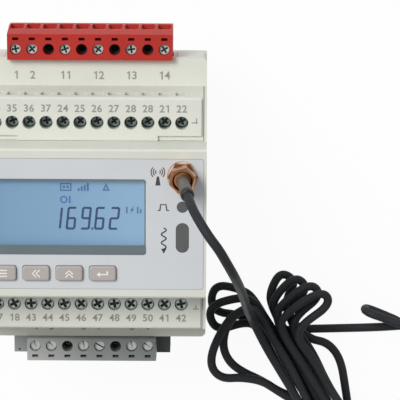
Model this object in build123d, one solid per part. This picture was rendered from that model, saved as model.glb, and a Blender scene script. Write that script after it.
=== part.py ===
from build123d import *
import math
import os

# Three-phase energy meter for a 35 mm rail, lying on its back, with its aerial lead beside it.
# The origin is the middle of the meter on the surface under it. +Z runs from the rail side to the
# display, +Y to the edge with the ten-way plug, +X to the side of the aerial socket. Sizes in mm.

# Housing
width = 76.0
height = 89.0
depth = 74.0
deck_z = 60.0
step_z = 37.0
split_z = 24.0
display_height = 45.0
deck_reach = 13.2
deck_height = display_height + 2 * deck_reach
front_chamfer = 0.6
edge_round = 1.6
wall = 2.0
side_wall = 1.5
cheek = 0.8
joint_gap = 0.1
overrun = 1.0

# Rear base and rail seat
back_height = 72.0
back_straight = 8.0
slope_end = 20.0
rail_width = 35.0
rail_thickness = 1.0
rail_play = 0.2
lip_thickness = 3.0
lip_reach = 2.6
rail_clearance = 0.3
seat_z = lip_thickness + rail_thickness + rail_clearance
floor_thickness = 2.0
skirt_height = 2.5
skirt_wall = 0.9
pocket_count = 7
pocket_pitch = 10.6
pocket_length = 8.0
pocket_rim = 2.4

# Rail latch
latch_width = 14.0
latch_thickness = 2.6
latch_play = 0.2
latch_tab = 6.5
latch_slot_length = 6.0
latch_slot_width = 2.0
latch_grip = 2.8

# Terminal rows
pitch = 5.08
row_end = 4.5
row_ways = int((width - 2 * row_end) / pitch)
hole_inset = 7.7
hole_y = deck_height / 2 - hole_inset
hole_r = 2.0
cover_gap = 0.2
deck_thickness = 2.0
riser_thickness = 1.6
entry_width = 4.0
entry_height = 6.0
entry_top = 4.0
rebate_width = 0.6
rebate_depth = 0.8
notch_depth = 1.5
notch_left = 19.2
notch_right = 14.7
terminal_depth = 10.6
cage_width = 3.7
cage_length = 6.6
cage_height = 7.6
cage_drop = 9.5
cage_wall = 0.9
part_play = 0.1
screw_head_r = 1.75
screw_head_height = 1.6
screw_shank_r = 1.15
top_screw_drop = 4.0
bottom_screw_drop = 0.8

# Pluggable terminals
plug_x = 2.0
top_ways = 10
bottom_ways = 8
top_fitted = (0, 1, 3, 5, 7, 9)
bottom_fitted = (0, 1, 3, 4, 6, 7)
plug_face_z = 39.5
plug_depth = 15.0
plug_reach = 9.2
plug_lip = 0.8
plug_bevel = 1.2
plug_slope = 1.8
plug_slope_drop = 8.5
funnel_width = 4.1
funnel_depth = 0.9
funnel_rim = 0.6
plug_clamp_drop = 4.4
plug_clamp_height = 8.0
plug_clamp_reach = 1.8
plug_screw_reach = 2.7
plug_screw_y = height / 2 + plug_screw_reach
plug_screw_drop = 1.2
plug_hole_r = 1.75
test_slot_reach = 5.9
test_slot_y = height / 2 + test_slot_reach
test_slot_width = 1.9
test_slot_length = 0.9
test_slot_depth = 3.0
wire_width = 3.4
wire_height = 4.2
tongue_length = 8.8
tongue_height = 8.4
tongue_drop = 6.0
plug_play = 0.2
shroud_wall = 1.1
header_back = 2.0
pin_size = 1.0
pin_play = 0.15
ear_length = 4.3
ear_reach = 4.2

# Display section
label_edge = 0.8
label_length = width - 2 * label_edge
label_margin = 2.75
label_height = display_height - 2 * label_margin
label_thickness = 0.4
label_corner = 0.8
window_start = 12.2
window_end = 17.9
window_left = window_start - width / 2
window_right = width / 2 - window_end
window_above = 9.0
window_below = 13.3
window_top = display_height / 2 - window_above
window_bottom = window_below - display_height / 2
window_thickness = 1.4
window_ledge = 1.0
panel_thickness = 2.0
glass_thickness = 2.2
backlight_thickness = 3.0
display_margin = 1.6

# Buttons
button_count = 4
button_pitch = 9.86
button_start = 15.7
button_first_x = button_start - width / 2
button_above = 7.7
button_y = button_above - display_height / 2
button_length = 8.0
button_height = 4.45
button_corner = 0.9
button_proud = 1.1
button_play = 0.12
button_flange = 0.5
button_flange_thickness = 0.7
button_travel = 0.8
stem_r = 1.5
stem_play = 0.08
switch_size = 6.0
switch_height = 3.6

# Lamp, infrared window and aerial socket
lamp_edge = 7.1
lamp_x = width / 2 - lamp_edge
lamp_y = 5.3
lamp_r = 1.65
infrared_y = -4.0
infrared_width = 3.8
infrared_length = 8.9
infrared_corner = 1.8
guide_play = 0.05
aerial_x = lamp_x
aerial_below = 7.9
aerial_y = display_height / 2 - aerial_below
recess_r = 4.5
socket_r = 2.9
socket_flange_r = 3.6
socket_flange_thickness = 1.5
socket_height = 5.2
locknut_across = 7.6
locknut_thickness = 1.8
coupling_across = 7.1
coupling_turn = 15
coupling_height = 6.0
coupling_gap = 0.4
coupling_round = 0.6
coupling_wall = 2.0
dish_depth = 1.2
dish_r = 2.95
dish_floor_r = 2.4
thread_play = 0.06
ferrule_r = 1.2
ferrule_height = 1.0
boot_r = 1.8
boot_end_r = 1.75
boot_length = 11.2
boot_lean = (1.5, -1.8)

# Boards and what they carry
board_thickness = 1.6
power_board_z = 20.4
main_board_z = 38.4
display_board_drop = 13.4
display_board_z = depth - display_board_drop
board_gap = 1.7
board_length = width - 2 * (side_wall + board_gap)
main_board_gap = 2.7
main_board_height = deck_height - 2 * (wall + main_board_gap)
power_board_gap = 4.5
power_board_height = height - 2 * (wall + power_board_gap)
display_board_gap = 1.0
display_board_height = display_height - 2 * (wall + display_board_gap)
tie_edge = 5.6
tie_below = 5.6
tie_y = display_height / 2 - tie_below
socket_tie_edge = 15.4
tie_left = tie_edge - width / 2
tie_right = width / 2 - tie_edge
tie_places = (
    (tie_left, tie_y),
    (width / 2 - socket_tie_edge, tie_y),
    (tie_left, -tie_y),
    (tie_right, -tie_y),
)
tie_r = 1.25
tie_play = 0.15
tie_head_r = 2.2
tie_head_height = 1.4
spacer_r = 2.5
boss_r = 3.6
sensor_count = 3
sensor_pitch = 20.0
sensor_y = -12.0
sensor_r = 8.6
sensor_bore_r = 3.6
sensor_height = 9.0
transformer_size = (22.0, 17.0, 13.0)
transformer_edge = 20.0
transformer_place = (transformer_edge - width / 2, 11.0)
relay_size = (20.0, 10.0, 12.5)
relay_places = ((8.0, 13.5), (8.0, 2.5))
capacitor_r = 5.0
capacitor_height = 12.0
capacitor_edge = 9.0
capacitor_place = (width / 2 - capacitor_edge, 8.0)
radio_size = (24.0, 15.0, 3.2)
radio_place = (6.0, 4.0)

# Aerial lead: down to the surface, wound into a hank drawn in by a tie, then on to the aerial
cord_d = 2.8
rest_z = 1.5
lead_drop = (
    (34.3, 10.2, 102.3),
    (36.2, 7.7, 106.3),
    (38.7, 4.2, 108.7),
    (41.5, 0.6, 109.2),
    (43.8, -3.8, 107.4),
    (46.0, -8.7, 102.7),
    (47.6, -14.5, 91.0),
    (48.9, -21.5, 73.0),
    (50.2, -29.5, 52.0),
    (51.7, -38.0, 31.5),
    (52.9, -42.4, 21.0),
)
lead_exit_run = 5.5
run_end_corners = 3
hank_end_corners = 2
tie_place = (60.0, -47.0)
hank_angle = -62.0
hank_layers = 4
hank_columns = 4
layer_step = 3.5
column_step = 3.4
tie_entry = 4.0
neck_reach = 15.0
neck_share = 1.12
spread_reach = 30.0
spread_share = 0.8
belly_share = 0.7
turn_share = 0.9
outer_half = 10.5
inner_half = 5.6
outer_runs = ((-59.6, 78.0), (-63.0, 72.0), (-60.4, 82.0), (-63.6, 75.0))
inner_runs = ((-60.4, 61.0), (-62.4, 56.0), (-61.0, 64.0), (-62.8, 58.0))
loop_ease = 3.2
loop_drop = 0.8
loop_blend_share = 0.2
right_loops = (
    (27.0, 17.0, 3.4, 1.5),
    (36.0, 14.5, 3.4, -1.0),
    (46.0, 11.5, 3.4, -3.5),
    (58.0, 9.0, 3.4, -5.0),
)
left_loops = ((198.0, 14.5, 4.6, -7.0), (174.0, 13.6, 4.8, -7.0))
stray_level = 4
stray_rise = 1.6
stray_loops = (
    (
        (4.0, -1.7),
        (-4.0, -1.9),
        (-9.0, -4.4),
        (-9.6, -9.6),
        (-6.0, -16.2),
        (-0.6, -22.4),
        (4.4, -24.6),
        (9.0, -22.8),
        (11.6, -17.4),
        (16.4, -11.6),
        (22.5, -8.8),
    ),
    (
        (4.0, -1.7),
        (-3.6, -1.9),
        (-8.4, -3.8),
        (-8.8, -8.6),
        (-6.0, -14.2),
        (-0.4, -18.2),
        (5.6, -18.8),
        (11.0, -16.6),
        (16.6, -12.6),
        (23.0, -9.4),
    ),
)
bulge = ((34.0, 10.6, 0.0), (24.0, 13.8, 0.0), (16.5, 12.6, 1.5), (12.0, 7.5, 3.5))
lead_tail = (
    (60.0, -52.4, 1.5),
    (70.0, -51.6, 1.5),
    (81.0, -51.3, 1.5),
    (97.0, -50.8, 1.5),
    (106.0, -50.0, 1.5),
    (114.0, -50.6, 1.5),
    (122.5, -54.0, 1.5),
    (126.5, -61.0, 1.5),
    (123.0, -68.0, 1.5),
    (115.5, -68.5, 1.5),
    (110.0, -62.5, 1.5),
    (107.4, -54.0, 4.9),
    (103.4, -48.2, 4.9),
    (98.0, -46.3, 2.8),
    (91.0, -43.8, 1.5),
    (91.0, -43.8, 8.3),
    (98.0, -46.3, 8.0),
    (103.4, -48.2, 8.8),
    (109.2, -48.4, 7.4),
    (114.4, -45.6, 4.5),
    (120.0, -42.4, 4.5),
)
tangent_share = 0.45
tube_sides = 6
gap_steps = 4
gap_skip = 9.0

# Aerial on its foot
foot_r = 15.0
foot_height = 9.0
foot_round = 2.0
foot_sleeve_r = 2.6
foot_sleeve_reach = 3.0
whip_r = 2.6
whip_tip_r = 1.7
whip_height = 42.0
whip_collar_r = 4.2
whip_collar_height = 4.0

half_width = width / 2
half_height = height / 2
half_display = display_height / 2
half_deck = deck_height / 2


def block(x, y, z):
    """A box between the ends of three spans."""
    middle = Pos((x[0] + x[1]) / 2, (y[0] + y[1]) / 2, (z[0] + z[1]) / 2)
    return middle * Box(x[1] - x[0], y[1] - y[0], z[1] - z[0])


def peg(x, y, z, radius):
    """A round bar along Z through the span z."""
    return Pos(x, y, (z[0] + z[1]) / 2) * Cylinder(radius, z[1] - z[0])


def across(outline, x):
    """An outline of (y, z) points carried along X through the span x."""
    face = Plane.YZ.offset(x[0]) * Polygon(*outline, align=None)
    return extrude(face, amount=x[1] - x[0])


def slab(x, y, length, breadth, corner, z):
    """A plate with round corners about (x, y), through the span z."""
    face = Pos(x, y, z[0]) * RectangleRounded(length, breadth, corner)
    return extrude(face, amount=z[1] - z[0])


def both_ways(outline):
    """An outline given for positive y, closed with its mirror image."""
    return outline + [(-y, z) for y, z in reversed(outline)]


def way_places(ways, middle=0):
    """The X places of a row of terminals."""
    return [middle + (way - (ways - 1) / 2) * pitch for way in range(ways)]


def sided(shape, side):
    """A piece drawn at the top edge, or its mirror image at the bottom edge."""
    return shape if side > 0 else mirror(shape, about=Plane.XZ)


# Housing shells


def shell_outline(inset):
    """The side view of the front shell from its split line up, drawn in by inset."""
    return both_ways([
        (half_height - inset, split_z),
        (half_height - inset, step_z - inset),
        (half_deck - inset, step_z - inset),
        (half_deck - inset, deck_z - inset),
        (half_display - inset, deck_z - inset),
        (half_display - inset, depth - front_chamfer - inset),
        (half_display - front_chamfer - inset, depth - inset),
    ])


def front_shell():
    """The light front moulding: steps, end cheeks and the raised display section."""
    shell = across(shell_outline(0), (-half_width, half_width))
    corners = [e for e in shell.edges().filter_by(Axis.Z) if abs(e.center().Y) > half_deck]
    shell = fillet(corners, edge_round)
    inside = half_width - side_wall
    shell -= across(shell_outline(wall), (-inside, inside))
    room_y = half_height - wall
    shell -= block((-inside, inside), (-room_y, room_y), (split_z - overrun, split_z + overrun))
    cheek_inside = half_width - cheek
    for side in (1, -1):
        gap = block(
            (-cheek_inside, cheek_inside),
            (half_display, half_deck + overrun),
            (step_z, deck_z + overrun),
        )
        ledge = block(
            (-cheek_inside, cheek_inside),
            (half_display, half_deck),
            (step_z - wall - overrun, step_z + overrun),
        )
        shell -= sided(gap, side)
        shell -= sided(ledge, side)
        shell -= plug_opening(side, wall)
    shell -= front_cuts()
    return shell


def plug_opening(side, thickness):
    """The mouth that a header fills in an end wall of some thickness."""
    ways = top_ways if side > 0 else bottom_ways
    half = header_half_length(ways) + joint_gap
    low, high = shroud_span()
    mouth = block(
        (plug_x - half, plug_x + half),
        (half_height - thickness - overrun, half_height + overrun),
        (low - joint_gap, high + joint_gap),
    )
    return sided(mouth, side)


def front_cuts():
    """The recess of the label and the holes through the display panel."""
    label_seat = depth - label_thickness
    cuts = [slab(0, 0, label_length, label_height, label_corner, (label_seat, depth + overrun))]
    cuts += panel_holes(joint_gap, depth - panel_thickness - overrun)
    window_seat = label_seat - window_thickness
    cuts.append(window_block(joint_gap, (window_seat, depth + overrun)))
    cuts.append(window_block(-window_ledge, (depth - panel_thickness - overrun, depth)))
    return cuts


def window_block(grow, z):
    """The display window's outline, larger all round by grow."""
    length = window_right - window_left + 2 * grow
    breadth = window_top - window_bottom + 2 * grow
    middle = ((window_left + window_right) / 2, (window_top + window_bottom) / 2)
    return slab(*middle, length, breadth, button_corner, z)


def button_places():
    """The X places of the buttons."""
    return [button_first_x + index * button_pitch for index in range(button_count)]


def panel_holes(grow, low):
    """The holes for buttons, lamp, infrared window and aerial socket, from low upwards."""
    span = (low, depth + overrun)
    play = button_play
    holes = [
        slab(x, button_y, button_length + 2 * play, button_height + 2 * play, button_corner, span)
        for x in button_places()
    ]
    holes.append(peg(lamp_x, lamp_y, span, lamp_r + guide_play))
    infrared = slab(
        lamp_x,
        infrared_y,
        infrared_width + 2 * guide_play,
        infrared_length + 2 * guide_play,
        infrared_width / 2,
        span,
    )
    holes.append(infrared)
    holes.append(peg(aerial_x, aerial_y, span, socket_r + grow))
    return holes


def front_label():
    """The thin printed plate let into the display panel."""
    seat = depth - label_thickness
    label = slab(
        0,
        0,
        label_length - 2 * joint_gap,
        label_height - 2 * joint_gap,
        label_corner,
        (seat, depth),
    )
    label -= panel_holes(joint_gap, seat - overrun)
    label -= window_block(joint_gap, (seat - overrun, depth + overrun))
    label -= peg(aerial_x, aerial_y, (seat - overrun, depth + overrun), recess_r)
    return label


def display_window():
    """The clear window over the display, level with the label."""
    seat = depth - label_thickness - window_thickness
    return window_block(0, (seat, depth))


def base_outline(inset):
    """The side view of the rear base above the rail seat level, drawn in by inset."""
    half_back = back_height / 2
    return both_ways([
        (half_back - inset, inset if inset else 0),
        (half_back - inset, back_straight),
        (half_height - inset, slope_end),
        (half_height - inset, split_z + (overrun if inset else 0)),
    ])


def rear_base():
    """The rear moulding: rail channel, fixed lip, latch way, bosses and the joint skirt."""
    base = across(base_outline(0), (-half_width, half_width))
    inside = half_width - side_wall
    hollow = across(base_outline(wall), (-inside, inside))
    floor_z = seat_z + floor_thickness
    hollow -= block(
        (-half_width, half_width), (-half_height, half_height), (-overrun, floor_z)
    )
    base -= hollow
    inner_x = inside - skirt_wall
    inner_y = half_height - wall - skirt_wall
    for grow, low in ((0, split_z - skirt_height), (joint_gap, split_z)):
        outer_x = inside - grow
        outer_y = half_height - wall - grow
        high = low + skirt_height
        skirt = block((-outer_x, outer_x), (-outer_y, outer_y), (low, high))
        skirt -= block((-inner_x, inner_x), (-inner_y, inner_y), (low - overrun, high + overrun))
        base += skirt
    for side in (1, -1):
        base -= plug_opening(side, wall + skirt_wall)
    half_rail = rail_width / 2 + rail_play
    everywhere = (-half_width - overrun, half_width + overrun)
    base -= block(everywhere, (-half_rail, half_rail), (lip_thickness, seat_z))
    base -= block(everywhere, (-half_rail, half_rail - lip_reach), (-overrun, seat_z))
    base -= latch_way()
    base -= core_pockets()
    for x, y in tie_places:
        base += peg(x, y, (floor_z, power_board_z), boss_r)
        base -= peg(x, y, (floor_z, power_board_z + overrun), tie_r + guide_play)
    return base


def core_pockets():
    """The pockets that core out the thick feet beside the rail channel."""
    ends = (rail_width / 2 + rail_play + pocket_rim, back_height / 2 - pocket_rim)
    clear_of_latch = (latch_width + pocket_length + pocket_rim) / 2
    pockets = []
    for index in range(pocket_count):
        x = (index - (pocket_count - 1) / 2) * pocket_pitch
        pocket = block((x - pocket_length / 2, x + pocket_length / 2), ends, (-overrun, seat_z))
        pockets.append(pocket)
        if abs(x) > clear_of_latch:
            pockets.append(sided(pocket, -1))
    return pockets


def latch_way():
    """The groove across the bottom foot in which the latch slides."""
    half = latch_width / 2 + latch_play
    step = latch_grip / 2 + latch_play
    low = -back_height / 2 - overrun
    high = -rail_width / 2
    top = lip_thickness + latch_play
    groove = block((-half, half), (low, high), (-overrun, top))
    keeper = block(
        (-half, half), (low + overrun, high - rail_play), (-overrun, (lip_thickness - latch_thickness))
    )
    opening = block(
        (-half + step, half - step), (low, high), (-overrun, top)
    )
    keeper -= opening
    return groove - keeper


def rail_latch():
    """The sliding latch: lip behind the rail, slotted pull tab beyond the foot."""
    low = lip_thickness - latch_thickness
    tip = -rail_width / 2 - rail_play + lip_reach
    end = -back_height / 2 - latch_tab
    nose = latch_thickness / 2
    outline = [
        (end, low + latch_play / 2),
        (tip - nose, low + latch_play / 2),
        (tip, low + nose),
        (tip, lip_thickness),
        (end, lip_thickness),
    ]
    latch = across(outline, (-latch_width / 2, latch_width / 2))
    corners = latch.edges().filter_by(Axis.Z).group_by(Axis.Y)[0]
    latch = fillet(corners, nose)
    slot_y = end + latch_tab / 2
    latch -= slab(
        0,
        slot_y,
        latch_slot_length,
        latch_slot_width,
        latch_slot_width / 3,
        (low - overrun, lip_thickness + overrun),
    )
    return latch


# Terminal rows


def terminal_cover(side):
    """The clip-in cover of one terminal row: deck with lowered edges, riser with wire entries."""
    half = half_width - cheek - cover_gap
    inner_y = half_display + joint_gap
    low = step_z - wall
    cover = block((-half, half), (inner_y, half_deck), (deck_z - deck_thickness, deck_z))
    cover += block((-half, half), (half_deck - riser_thickness, half_deck), (low, deck_z))
    for end in (-1, 1):
        rib = (end * half, end * (half - riser_thickness))
        cover += block((min(rib), max(rib)), (half_deck - cage_length, half_deck), (step_z, deck_z))
    rounded = cover.edges().filter_by(Axis.X).filter_by(
        lambda e: abs(e.center().Z - deck_z) < part_play and e.center().Y > half_deck - part_play
    )
    cover = fillet(rounded, riser_thickness / 2)
    lowered = (deck_z - rebate_depth, deck_z + overrun)
    for end, notch in ((-1, notch_left), (1, notch_right)):
        outer = end * (half + overrun)
        rebate = (end * (half - rebate_width), outer)
        cover -= block((min(rebate), max(rebate)), (inner_y - overrun, half_deck + overrun), lowered)
        notched = (end * (half_width - notch), outer)
        cover -= block((min(notched), max(notched)), (inner_y - overrun, inner_y + notch_depth), lowered)
    top = deck_z - entry_top
    cover -= [
        peg(x, hole_y, (deck_z - deck_thickness - overrun, deck_z + overrun), hole_r)
        for x in way_places(row_ways)
    ]
    cover -= [
        slab_y(x, (half_deck - riser_thickness - overrun, half_deck + overrun), top - entry_height, top)
        for x in way_places(row_ways)
    ]
    return sided(cover, side)


def slab_y(x, y, low, high):
    """A wire entry through a riser: a box with a round-cornered mouth along Y."""
    middle = (low + high) / 2
    face = Plane.XZ.offset(-y[1]) * Pos(x, middle) * RectangleRounded(
        entry_width, high - low, entry_width / 4
    )
    return extrude(face, amount=y[1] - y[0])


def terminal_body(side):
    """The insulating block of one row, with a well and a cage chamber for each way."""
    top = deck_z - deck_thickness - part_play
    bottom = main_board_z + board_thickness
    back = half_deck - riser_thickness - part_play
    half = row_ways * pitch / 2
    body = block((-half, half), (back - terminal_depth, back), (bottom, top))
    entry_high = deck_z - entry_top
    for x in way_places(row_ways):
        body -= peg(x, hole_y, (cage_span()[1] - overrun, top + overrun), hole_r)
        body -= block(*cage_room(x, part_play), cage_span(part_play))
        body -= block(
            (x - wire_width / 2, x + wire_width / 2),
            (hole_y, back + overrun),
            (entry_high - entry_height, entry_high - entry_height + wire_height),
        )
    return sided(body, side)


def cage_span(grow=0):
    """The height span of the clamps in the terminal rows."""
    top = deck_z - cage_drop
    return (top - cage_height - grow, top + grow)


def cage_room(x, grow=0):
    """The X and Y spans of one clamp."""
    half = cage_width / 2 + grow
    near = hole_y - cage_length / 2 - grow
    return (x - half, x + half), (near, near + cage_length + 2 * grow)


def terminal_clamps(side):
    """The wire clamps of one row."""
    clamps = []
    low, high = cage_span()
    for x in way_places(row_ways):
        room = cage_room(x)
        clamp = block(*room, (low, high))
        clamp -= block(
            (room[0][0] + cage_wall, room[0][1] - cage_wall),
            (room[1][0] - overrun, room[1][1] + overrun),
            (low + cage_wall, high - 2 * cage_wall),
        )
        bore = (high - 2 * cage_wall - overrun, high + overrun)
        clamp -= peg(x, hole_y, bore, screw_shank_r + guide_play)
        clamps.append(sided(clamp, side))
    return clamps


def terminal_screws(side):
    """The clamp screws of one row, driven home at the top and backed out at the bottom."""
    top = deck_z - (top_screw_drop if side > 0 else bottom_screw_drop)
    foot = cage_span()[1] - 2 * cage_wall
    screws = []
    for x in way_places(row_ways):
        screw = peg(x, hole_y, (top - screw_head_height, top), screw_head_r)
        screw += peg(x, hole_y, (foot, top - screw_head_height / 2), screw_shank_r)
        screws.append(sided(screw, side))
    return screws


# Pluggable terminals


def header_half_length(ways):
    """Half the outside length of a header's shroud."""
    return ways * pitch / 2 + plug_play + shroud_wall


def tongue_span():
    """The height span of the plug's tongue."""
    high = plug_face_z - tongue_drop
    return high - tongue_height, high


def shroud_span():
    """The height span of the header's shroud."""
    low, high = tongue_span()
    return low - plug_play - shroud_wall, high + plug_play + shroud_wall


def plug_body(side):
    """A pluggable terminal block: screw face, sloped edge, wire funnels and the tongue."""
    ways = top_ways if side > 0 else bottom_ways
    half = ways * pitch / 2
    near = half_height + plug_play
    far = half_height + plug_reach
    low = plug_face_z - plug_depth
    tongue = tongue_span()
    clamp_top = plug_face_z - plug_clamp_drop
    outline = [
        (near, low),
        (far - plug_bevel, low),
        (far, low + plug_bevel),
        (far, plug_face_z - plug_slope_drop),
        (far - plug_slope, plug_face_z),
    ]
    if side > 0:
        over_step = step_z + plug_play
        outline += [(near - plug_lip, plug_face_z), (near - plug_lip, over_step), (near, over_step)]
    else:
        outline.append((near, plug_face_z))
    outline += [
        (near, tongue[1]),
        (near - tongue_length, tongue[1]),
        (near - tongue_length, tongue[0]),
        (near, tongue[0]),
    ]
    body = across(outline, (plug_x - half, plug_x + half))
    cuts = []
    for x in way_places(ways, plug_x):
        well = (plug_clamp_span()[1] - overrun, plug_face_z + overrun)
        cuts.append(peg(x, plug_screw_y, well, plug_hole_r))
        cuts.append(
            block(
                (x - test_slot_width / 2, x + test_slot_width / 2),
                (test_slot_y - test_slot_length / 2, test_slot_y + test_slot_length / 2),
                (plug_face_z - test_slot_depth, plug_face_z + overrun),
            )
        )
        cuts.append(block(*plug_clamp_room(x, part_play), plug_clamp_span(part_play)))
        mouth = clamp_top - (plug_clamp_height - wire_height) / 2
        cuts.append(
            block(
                (x - wire_width / 2, x + wire_width / 2),
                (plug_screw_y, far + overrun),
                (mouth - wire_height, mouth),
            )
        )
        cuts.append(
            block(
                (x - funnel_width / 2, x + funnel_width / 2),
                (far - funnel_depth, far + overrun),
                (mouth - wire_height - funnel_rim, plug_face_z),
            )
        )
        pin_middle = sum(tongue) / 2
        half_pin = pin_size / 2 + pin_play
        cuts.append(
            block(
                (x - half_pin, x + half_pin),
                (near - tongue_length - overrun, plug_screw_y),
                (pin_middle - half_pin, pin_middle + half_pin),
            )
        )
    body -= cuts
    return sided(body, side)


def plug_clamp_span(grow=0):
    """The height span of a plug's clamps."""
    top = plug_face_z - plug_clamp_drop
    return (top - plug_clamp_height + cage_wall - grow, top + grow)


def plug_clamp_room(x, grow=0):
    """The X and Y spans of a plug's clamp."""
    half = cage_width / 2 + grow
    reach = plug_clamp_reach + grow
    return (x - half, x + half), (plug_screw_y - reach, plug_screw_y + reach)


def plug_clamps(side):
    """The wire clamps inside a plug."""
    ways = top_ways if side > 0 else bottom_ways
    low, high = plug_clamp_span()
    clamps = []
    for x in way_places(ways, plug_x):
        room = plug_clamp_room(x)
        clamp = block(*room, (low, high))
        clamp -= block(
            (room[0][0] + cage_wall, room[0][1] - cage_wall),
            (room[1][0] - overrun, room[1][1] + overrun),
            (low + cage_wall, high - 2 * cage_wall),
        )
        bore = (high - 2 * cage_wall - overrun, high + overrun)
        clamp -= peg(x, plug_screw_y, bore, screw_shank_r + guide_play)
        clamps.append(sided(clamp, side))
    return clamps


def plug_screws(side):
    """The clamp screws of a plug, in the ways that have one."""
    ways = top_ways if side > 0 else bottom_ways
    fitted = top_fitted if side > 0 else bottom_fitted
    top = plug_face_z - plug_screw_drop
    foot = plug_clamp_span()[1] - 2 * cage_wall
    head_r = plug_hole_r - part_play
    screws = []
    for way, x in enumerate(way_places(ways, plug_x)):
        if way in fitted:
            screw = peg(x, plug_screw_y, (top - screw_head_height, top), head_r)
            screw += peg(x, plug_screw_y, (foot, top - screw_head_height / 2), screw_shank_r)
            screws.append(sided(screw, side))
    return screws


def plug_header(side):
    """The socket that a plug sits in, open outwards, with ears on the eight-way one."""
    ways = top_ways if side > 0 else bottom_ways
    half = header_half_length(ways)
    low, high = shroud_span()
    mouth_y = half_height
    back_y = mouth_y + plug_play - tongue_length - plug_play - header_back
    header = block((plug_x - half, plug_x + half), (back_y, mouth_y), (low, high))
    room = tongue_span()
    header -= block(
        (plug_x - half + shroud_wall, plug_x + half - shroud_wall),
        (back_y + header_back, mouth_y + overrun),
        (room[0] - plug_play, room[1] + plug_play),
    )
    if side < 0:
        for end in (-1, 1):
            inner = plug_x + end * (ways * pitch / 2 + plug_play)
            outer = inner + end * ear_length
            header += block(
                (min(inner, outer), max(inner, outer)),
                (mouth_y + joint_gap, mouth_y + ear_reach),
                (low, high - shroud_wall),
            )
            foot = inner + end * shroud_wall
            header += block(
                (min(inner, foot), max(inner, foot)),
                (mouth_y - wall, mouth_y + ear_reach),
                (low, high - shroud_wall),
            )
            eye_x = inner + end * ear_length / 2
            eye = Plane.XZ.offset(-mouth_y - ear_reach - overrun) * Pos(eye_x, (low + high) / 2)
            header -= extrude(eye * Circle(pin_size), amount=ear_reach)
    middle = sum(room) / 2
    half_pin = pin_size / 2
    for x in way_places(ways, plug_x):
        header -= block(
            (x - half_pin, x + half_pin),
            (back_y - overrun, back_y + header_back + overrun),
            (middle - half_pin, middle + half_pin),
        )
    return sided(header, side)


def header_pins(side):
    """The bent pins of a header, down to the power board."""
    ways = top_ways if side > 0 else bottom_ways
    back_y = half_height - tongue_length - header_back
    room = tongue_span()
    middle = sum(room) / 2
    half_pin = pin_size / 2
    board_top = power_board_z + board_thickness
    pins = []
    for x in way_places(ways, plug_x):
        span = (x - half_pin, x + half_pin)
        tip_y = half_height - pin_size
        pin = block(span, (back_y - 2 * pin_size, tip_y), (middle - half_pin, middle + half_pin))
        pin += block(span, (back_y - 2 * pin_size, back_y - pin_size), (board_top, middle + half_pin))
        pins.append(sided(pin, side))
    return pins


# Display and controls


def display_glass():
    """The liquid-crystal cell under the window."""
    top = depth - panel_thickness - part_play
    return window_block(display_margin, (top - glass_thickness, top))


def backlight():
    """The light box between the display cell and its board."""
    top = depth - panel_thickness - part_play - glass_thickness
    bottom = display_board_z + board_thickness
    light = window_block(display_margin, (bottom, top))
    light -= window_block(-window_ledge, (bottom + backlight_thickness, top + overrun))
    return light


def button(index):
    """A sprung key: cap, retaining flange under the panel and stem into its switch."""
    x = button_places()[index]
    under = depth - panel_thickness - part_play
    cap = slab(
        x, button_y, button_length, button_height, button_corner, (under, depth + button_proud)
    )
    rim = cap.edges().group_by(Axis.Z)[-1]
    cap = fillet(rim, button_flange)
    grow = 2 * (button_play + button_flange)
    cap += slab(
        x,
        button_y,
        button_length + grow,
        button_height + grow,
        button_corner,
        (under - button_flange_thickness, under),
    )
    board_top = display_board_z + board_thickness
    stem_foot = board_top + switch_height - 2 * button_travel
    cap += peg(x, button_y, (stem_foot, under), stem_r)
    return cap


def key_switches():
    """The four switch bodies that the key stems press."""
    bottom = display_board_z + board_thickness
    top = bottom + switch_height
    half = switch_size / 2
    bodies = []
    for x in button_places():
        body = block((x - half, x + half), (button_y - half, button_y + half), (bottom, top))
        body -= peg(x, button_y, (bottom + part_play, top + overrun), stem_r + stem_play)
        bodies.append(body)
    return bodies


def pulse_lamp():
    """The round light pipe of the pulse lamp."""
    bottom = display_board_z + board_thickness
    lamp = peg(lamp_x, lamp_y, (bottom, depth), lamp_r)
    under = depth - panel_thickness - part_play
    return lamp + peg(lamp_x, lamp_y, (under - lamp_r / 2, under), lamp_r + button_flange)


def infrared_window():
    """The long window of the optical port, with a flange under the panel."""
    under = depth - panel_thickness - part_play
    bottom = display_board_z + board_thickness
    window = slab(lamp_x, infrared_y, infrared_width, infrared_length, infrared_corner, (bottom, depth))
    flange = slab(
        lamp_x,
        infrared_y,
        infrared_width + 2 * button_flange,
        infrared_length + 2 * button_flange,
        infrared_width / 2,
        (under - button_flange_thickness, under),
    )
    return window + flange


# Aerial socket and the fitting of the lead


def hexagon(x, y, z, across_flats, turn=0):
    """A six-sided bar with one corner towards +X, or turned from there by an angle."""
    face = RegularPolygon(across_flats / 2, 6, major_radius=False, rotation=turn)
    return extrude(Pos(x, y, z[0]) * face, amount=z[1] - z[0])


def socket_top():
    """The height of the free end of the aerial socket."""
    return depth + socket_height


def aerial_socket():
    """The threaded socket through the panel, held by its flange on the display board."""
    under = depth - panel_thickness - part_play
    bottom = display_board_z + board_thickness
    socket = peg(aerial_x, aerial_y, (bottom, socket_top()), socket_r)
    socket += peg(
        aerial_x, aerial_y, (under - socket_flange_thickness, under), socket_flange_r
    )
    socket -= peg(aerial_x, aerial_y, (depth, socket_top() + overrun), socket_r / 3)
    return socket


def socket_locknut():
    """The flat nut that clamps the socket to the panel."""
    seat = depth - label_thickness
    nut = hexagon(aerial_x, aerial_y, (seat, seat + locknut_thickness), locknut_across)
    return nut - peg(
        aerial_x, aerial_y, (seat - overrun, seat + locknut_thickness + overrun), socket_r + guide_play
    )


def coupling_span():
    """The height span of the coupling nut."""
    low = depth - label_thickness + locknut_thickness + coupling_gap
    return low, low + coupling_height


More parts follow.
